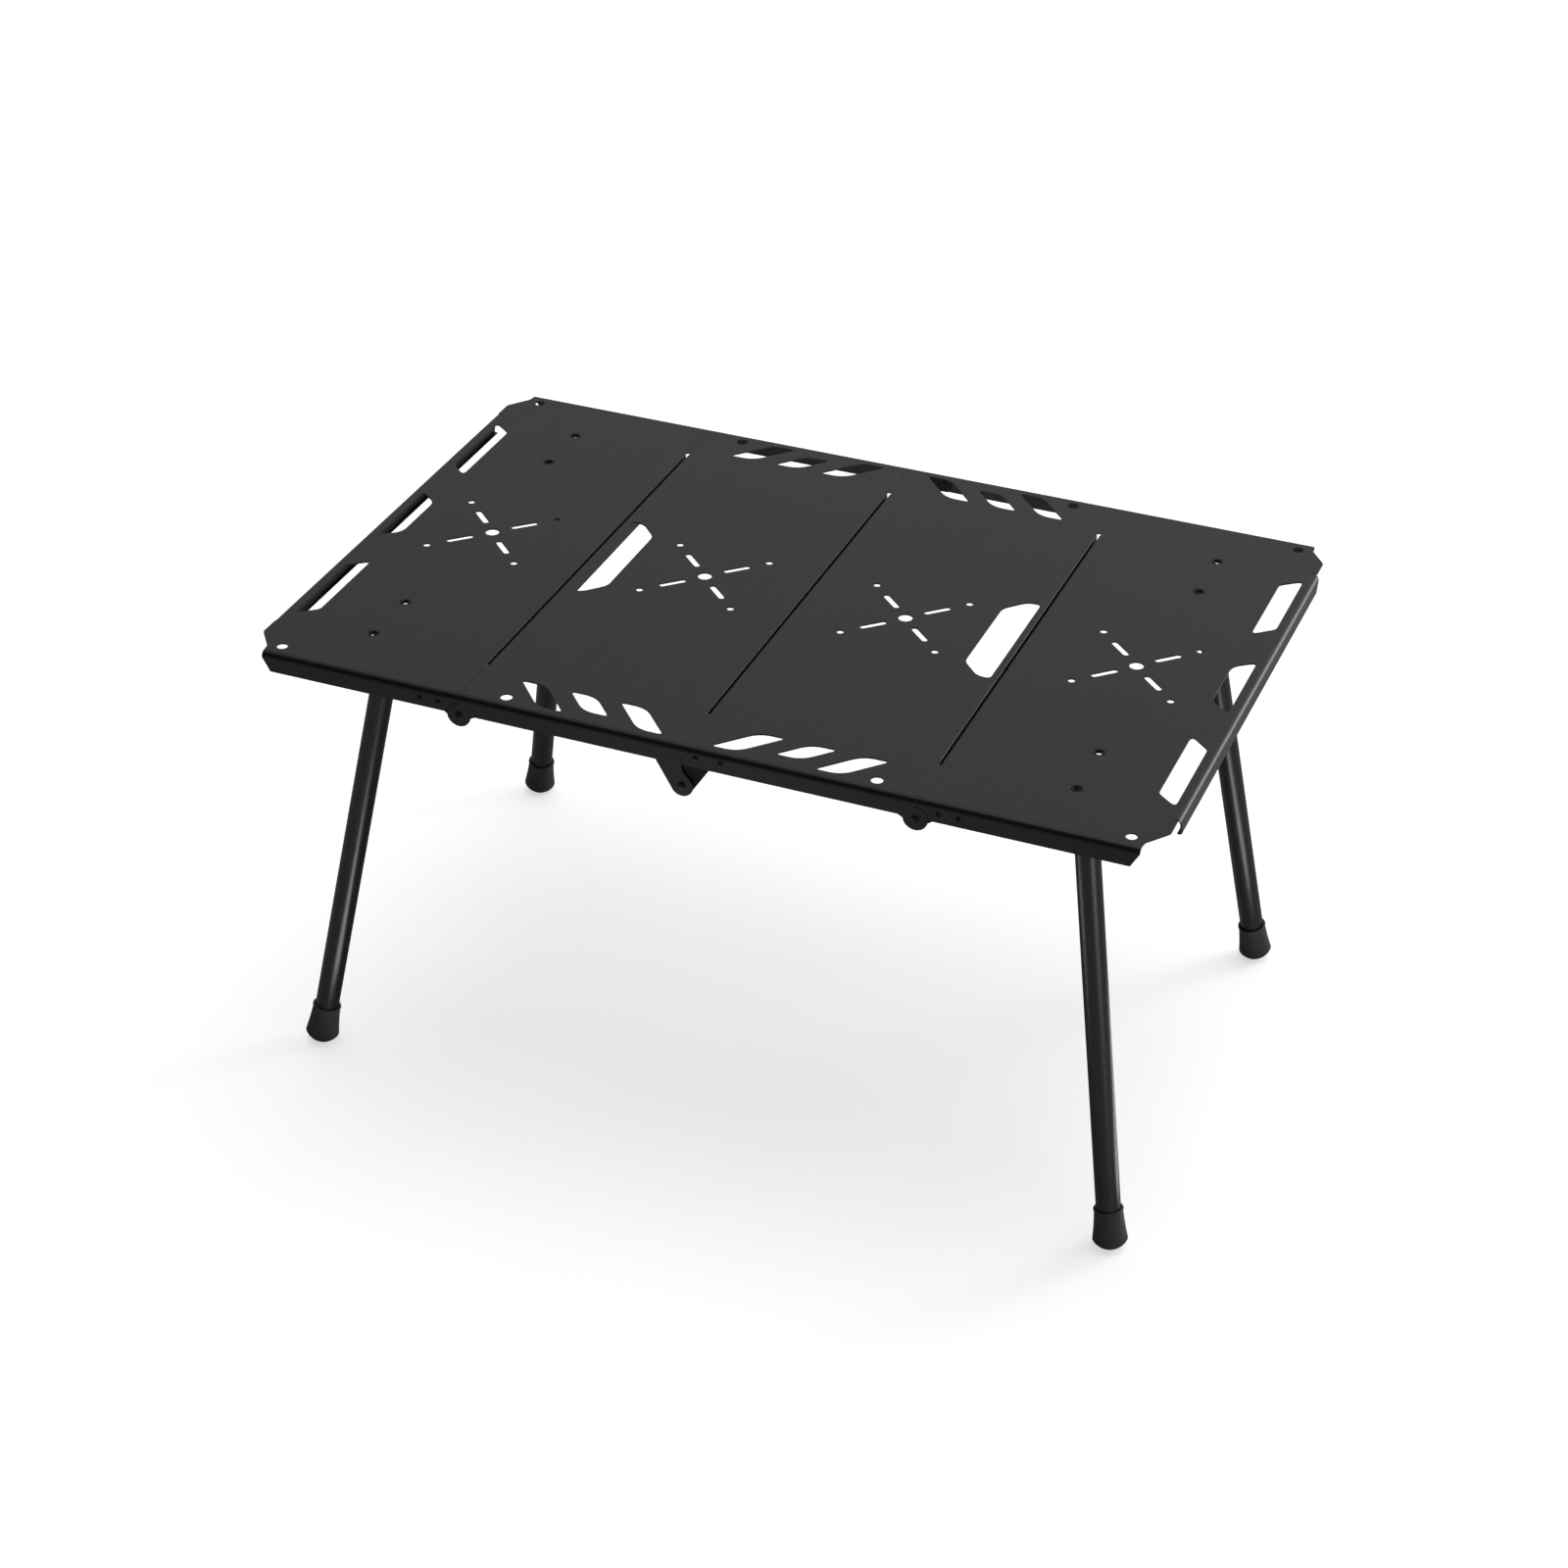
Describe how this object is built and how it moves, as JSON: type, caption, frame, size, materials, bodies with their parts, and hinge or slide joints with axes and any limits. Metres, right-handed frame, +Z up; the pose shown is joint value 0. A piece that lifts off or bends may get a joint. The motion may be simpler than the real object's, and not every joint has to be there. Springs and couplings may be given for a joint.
{
  "type": "folding table",
  "caption": "Low rectangular metal table whose slotted sheet panels fold at hinged seams, with splayed swing-out tube legs on rubber feet.",
  "frame": {"origin": "on the floor, under the middle of the top", "axes": "+X along the long side, +Y towards the back long side, +Z up"},
  "size_m": [0.906, 0.6024, 0.48],
  "materials": {
    "coated_sheet": "fine matt powder coat",
    "anodised_tube": "satin black anodised",
    "black_steel": "black coated steel",
    "plug_plastic": "moulded plastic",
    "foot_rubber": "matt moulded rubber"
  },
  "bodies": {
    "inner_left": {"inner_panel_left": "coated_sheet", "pivot_rivet_front_left": "black_steel", "pivot_rivet_front_centre": "black_steel", "pivot_rivet_back_left": "black_steel", "pivot_rivet_back_centre": "black_steel"},
    "inner_right": {"inner_panel_right": "coated_sheet", "pivot_rivet_front_right": "black_steel", "pivot_rivet_back_right": "black_steel", "hinge_plate_front_centre": "black_steel", "hinge_plate_back_centre": "black_steel", "hinge_rivet_front_centre_1": "black_steel", "hinge_rivet_front_centre_2": "black_steel", "hinge_rivet_back_centre_1": "black_steel", "hinge_rivet_back_centre_2": "black_steel"},
    "outer_left": {"outer_panel_left": "coated_sheet", "hinge_plate_front_left": "black_steel", "hinge_plate_back_left": "black_steel", "hinge_rivet_front_left_1": "black_steel", "hinge_rivet_front_left_2": "black_steel", "hinge_rivet_back_left_1": "black_steel", "hinge_rivet_back_left_2": "black_steel", "leg_bracket_front_left": "black_steel", "leg_bracket_back_left": "black_steel", "leg_pin_front_left": "black_steel", "leg_pin_back_left": "black_steel", "bracket_rivet_front_left_1": "black_steel", "bracket_rivet_front_left_2": "black_steel", "bracket_rivet_back_left_1": "black_steel", "bracket_rivet_back_left_2": "black_steel"},
    "outer_right": {"outer_panel_right": "coated_sheet", "hinge_plate_front_right": "black_steel", "hinge_plate_back_right": "black_steel", "hinge_rivet_front_right_1": "black_steel", "hinge_rivet_front_right_2": "black_steel", "hinge_rivet_back_right_1": "black_steel", "hinge_rivet_back_right_2": "black_steel", "leg_bracket_front_right": "black_steel", "leg_bracket_back_right": "black_steel", "leg_pin_front_right": "black_steel", "leg_pin_back_right": "black_steel", "bracket_rivet_front_right_1": "black_steel", "bracket_rivet_front_right_2": "black_steel", "bracket_rivet_back_right_1": "black_steel", "bracket_rivet_back_right_2": "black_steel"},
    "leg_front_left": {"leg_tube_front_left": "anodised_tube", "leg_plug_front_left": "plug_plastic", "foot_front_left": "foot_rubber"},
    "leg_front_right": {"leg_tube_front_right": "anodised_tube", "leg_plug_front_right": "plug_plastic", "foot_front_right": "foot_rubber"},
    "leg_back_left": {"leg_tube_back_left": "anodised_tube", "leg_plug_back_left": "plug_plastic", "foot_back_left": "foot_rubber"},
    "leg_back_right": {"leg_tube_back_right": "anodised_tube", "leg_plug_back_right": "plug_plastic", "foot_back_right": "foot_rubber"}
  },
  "joints": [
    {"name": "seam_left", "type": "hinge", "parent": "inner_left", "child": "outer_left", "pos_m": [-0.226, 0, 0.459], "axis": [0, -1, 0], "range_deg": [0, 105]},
    {"name": "seam_centre", "type": "hinge", "parent": "inner_left", "child": "inner_right", "pos_m": [0, 0, 0.4375], "axis": [0, 1, 0], "range_deg": [0, 70]},
    {"name": "seam_right", "type": "hinge", "parent": "inner_right", "child": "outer_right", "pos_m": [0.226, 0, 0.459], "axis": [0, 1, 0], "range_deg": [0, 105]},
    {"name": "leg_fold_front_left", "type": "hinge", "parent": "outer_left", "child": "leg_front_left", "pos_m": [-0.35, -0.196, 0.4615], "axis": [0.9806, 0.0931, -0.1723], "range_deg": [0, 96.4]},
    {"name": "leg_fold_front_right", "type": "hinge", "parent": "outer_right", "child": "leg_front_right", "pos_m": [0.35, -0.196, 0.4615], "axis": [0.9806, -0.0931, 0.1723], "range_deg": [0, 96.4]},
    {"name": "leg_fold_back_left", "type": "hinge", "parent": "outer_left", "child": "leg_back_left", "pos_m": [-0.35, 0.196, 0.4615], "axis": [-0.9845, -0.096, 0.1467], "range_deg": [0, 98.1]},
    {"name": "leg_fold_back_right", "type": "hinge", "parent": "outer_right", "child": "leg_back_right", "pos_m": [0.35, 0.196, 0.4615], "axis": [-0.9845, 0.096, -0.1467], "range_deg": [0, 98.1]}
  ]
}
